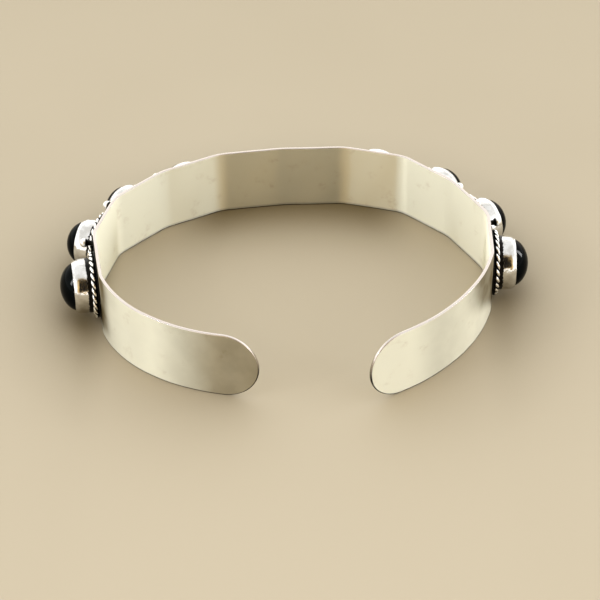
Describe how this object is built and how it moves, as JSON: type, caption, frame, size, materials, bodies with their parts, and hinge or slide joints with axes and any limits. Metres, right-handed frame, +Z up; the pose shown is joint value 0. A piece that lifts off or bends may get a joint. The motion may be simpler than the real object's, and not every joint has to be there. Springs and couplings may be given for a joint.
{
  "type": "cuff bangle",
  "caption": "Open cuff bangle: a flat strip with round ends, bent into short flats that each carry a domed stone in a bezel with a twisted wire ring.",
  "frame": {"origin": "centre of the bangle's box, on the plane that the strip's lower edge rests on", "axes": "+X across the bangle's long width, +Y away from the gap between its ends, +Z up across the strip's width as the bangle lies on its side"},
  "size_m": [0.0714, 0.056, 0.011],
  "materials": {
    "silver": "polished silver with fine wear",
    "oxidised_silver": "blackened silver, bright on its crests",
    "black_stone": "polished opaque black stone"
  },
  "bodies": {
    "root": {"silver_cuff": "silver", "stone_1": "black_stone", "stone_2": "black_stone", "stone_3": "black_stone", "stone_4": "black_stone", "stone_5": "black_stone", "stone_6": "black_stone", "stone_7": "black_stone", "stone_8": "black_stone", "stone_9": "black_stone", "stone_10": "black_stone"}
  },
  "joints": []
}
